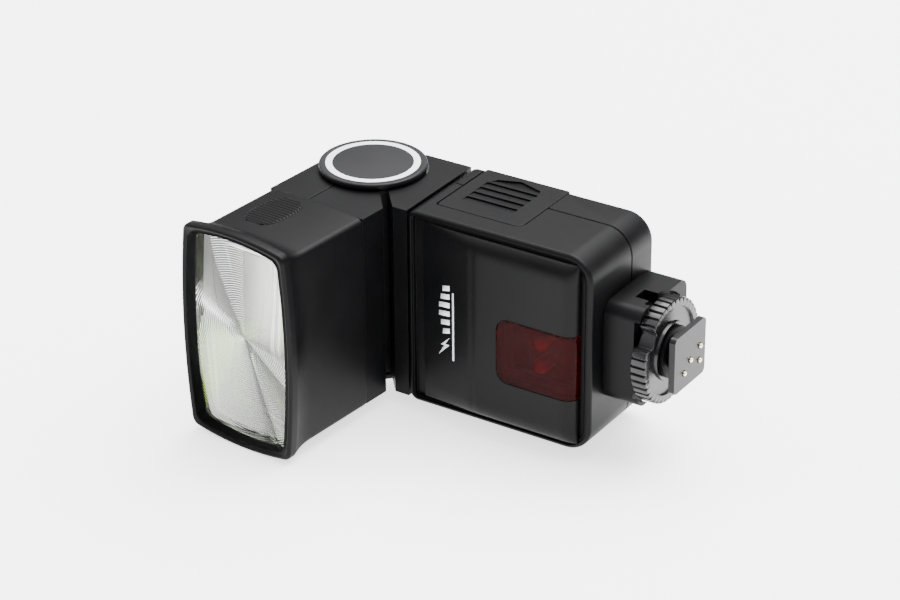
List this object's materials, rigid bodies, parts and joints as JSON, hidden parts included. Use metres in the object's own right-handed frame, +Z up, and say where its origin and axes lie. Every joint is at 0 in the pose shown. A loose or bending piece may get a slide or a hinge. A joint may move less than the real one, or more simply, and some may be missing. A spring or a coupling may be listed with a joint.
{
  "type": "speedlight flash",
  "caption": "Shoe-mount speedlight with a tilting, swivelling zoom head, red focus-assist window, side battery door and knurled lock wheel.",
  "frame": {"origin": "middle of the base of the box round the flash, lying on its side", "axes": "+X along the body towards the shoe foot, -Y the way the body's front faces, +Z up, out of the side that has the battery door"},
  "size_m": [0.14, 0.0874, 0.072],
  "materials": {
    "casing_black": "fine satin-textured moulded plastic",
    "inner_black": "plain moulded plastic",
    "cap_grey": "smooth dark grey plastic",
    "ring_white": "satin white inlay",
    "foot_grey": "smooth dark grey moulded plastic",
    "wheel_gloss": "polished black plastic",
    "button_grey": "satin dark grey plastic",
    "window_red": "deep red translucent acrylic",
    "lamp_red": "red lens",
    "fresnel_clear": "clear acrylic with fine concentric grooves",
    "tube_glass": "clear glass",
    "reflector_bright": "bright anodised aluminium",
    "board_green": "circuit board with solder mask",
    "cell_wrap": "plain printed sleeve",
    "capacitor_sleeve": "heat-shrink sleeve",
    "steel": "bare or nickel-plated steel",
    "pin_gold": "gold-plated brass"
  },
  "bodies": {
    "flash_body": {"front_shell": "casing_black", "rear_shell": "casing_black", "front_panel": "casing_black", "af_window": "window_red", "af_lamp_upper": "lamp_red", "af_lamp_lower": "lamp_red", "af_board": "board_green", "case_screw_1": "steel", "case_screw_2": "steel", "case_screw_3": "steel", "case_screw_4": "steel", "battery_case": "inner_black", "battery_cell_1": "cell_wrap", "battery_cell_2": "cell_wrap", "battery_cell_3": "cell_wrap", "battery_cell_4": "cell_wrap", "cell_contact_1": "steel", "cell_contact_2": "steel", "cell_contact_3": "steel", "cell_contact_4": "steel", "main_board": "board_green", "main_capacitor": "capacitor_sleeve", "transformer": "steel", "control_panel": "button_grey", "ready_lamp": "lamp_red", "mode_lamp_left": "lamp_red", "mode_lamp_right": "lamp_red", "foot_bracket": "casing_black", "foot_stem": "casing_black", "foot_plate": "foot_grey", "contact_pin_1": "pin_gold", "contact_pin_2": "pin_gold", "contact_pin_3": "pin_gold", "contact_pin_4": "pin_gold"},
    "swivel": {"yoke_block": "casing_black", "swivel_retainer": "steel"},
    "head": {"neck_left_cover": "casing_black", "neck_right_cover": "casing_black", "tilt_pivot_top": "steel", "tilt_pivot_bottom": "steel", "pivot_cap_top": "cap_grey", "pivot_cap_bottom": "cap_grey", "pivot_ring_top": "ring_white", "pivot_ring_bottom": "ring_white", "inner_sleeve": "inner_black", "reflector": "reflector_bright", "flash_tube": "tube_glass", "trigger_coil": "capacitor_sleeve"},
    "zoom_head": {"zoom_barrel": "casing_black", "front_bezel": "casing_black", "fresnel_lens": "fresnel_clear"},
    "door_slider": {"door_slide_frame": "inner_black"},
    "door": {"battery_door": "casing_black", "door_contact_plate": "board_green"},
    "lock_wheel": {"lock_wheel": "wheel_gloss"},
    "clamp_washer": {"clamp_washer": "casing_black"},
    "power_switch": {"power_switch": "wheel_gloss"},
    "test_button": {"test_button": "button_grey"},
    "mode_button": {"mode_button": "button_grey"}
  },
  "joints": [
    {"name": "head_swivel", "type": "hinge", "parent": "flash_body", "child": "swivel", "pos_m": [-0.01913, 0.02375, 0.036], "axis": [1, 0, 0], "range_deg": [-180, 90]},
    {"name": "head_tilt", "type": "hinge", "parent": "swivel", "child": "head", "pos_m": [-0.04443, 0.0254, 0.036], "axis": [0, 0, -1], "range_deg": [-4.77, 85.23]},
    {"name": "zoom_slide", "type": "slide", "parent": "head", "child": "zoom_head", "axis": [-0.0832, -0.9965, 0], "range_m": [0, 0.01]},
    {"name": "door_slide", "type": "slide", "parent": "flash_body", "child": "door_slider", "axis": [0, 1, 0], "range_m": [0, 0.004]},
    {"name": "door_hinge", "type": "hinge", "parent": "door_slider", "child": "door", "pos_m": [0.00127, 0.04095, 0.0579], "axis": [-1, 0, 0], "range_deg": [0, 110]},
    {"name": "lock_wheel_turn", "type": "hinge", "parent": "flash_body", "child": "lock_wheel", "pos_m": [0.06027, 0.0233, 0.036], "axis": [1, 0, 0], "range_deg": [0, 360]},
    {"name": "clamp_travel", "type": "slide", "parent": "flash_body", "child": "clamp_washer", "axis": [1, 0, 0], "range_m": [0, 0.0018]},
    {"name": "power_slide", "type": "slide", "parent": "flash_body", "child": "power_switch", "axis": [0, 0, 1], "range_m": [0, 0.004]},
    {"name": "test_press", "type": "slide", "parent": "flash_body", "child": "test_button", "axis": [0, -1, 0], "range_m": [0, 0.0008], "stiffness_N_per_m": 800, "springref_m": -0.0004},
    {"name": "mode_press", "type": "slide", "parent": "flash_body", "child": "mode_button", "axis": [0, -1, 0], "range_m": [0, 0.0008], "stiffness_N_per_m": 800, "springref_m": -0.0004}
  ],
  "couplings": [
    {"joint": "clamp_travel", "follows": "lock_wheel_turn", "m_per_rad": 0.0002387}
  ]
}
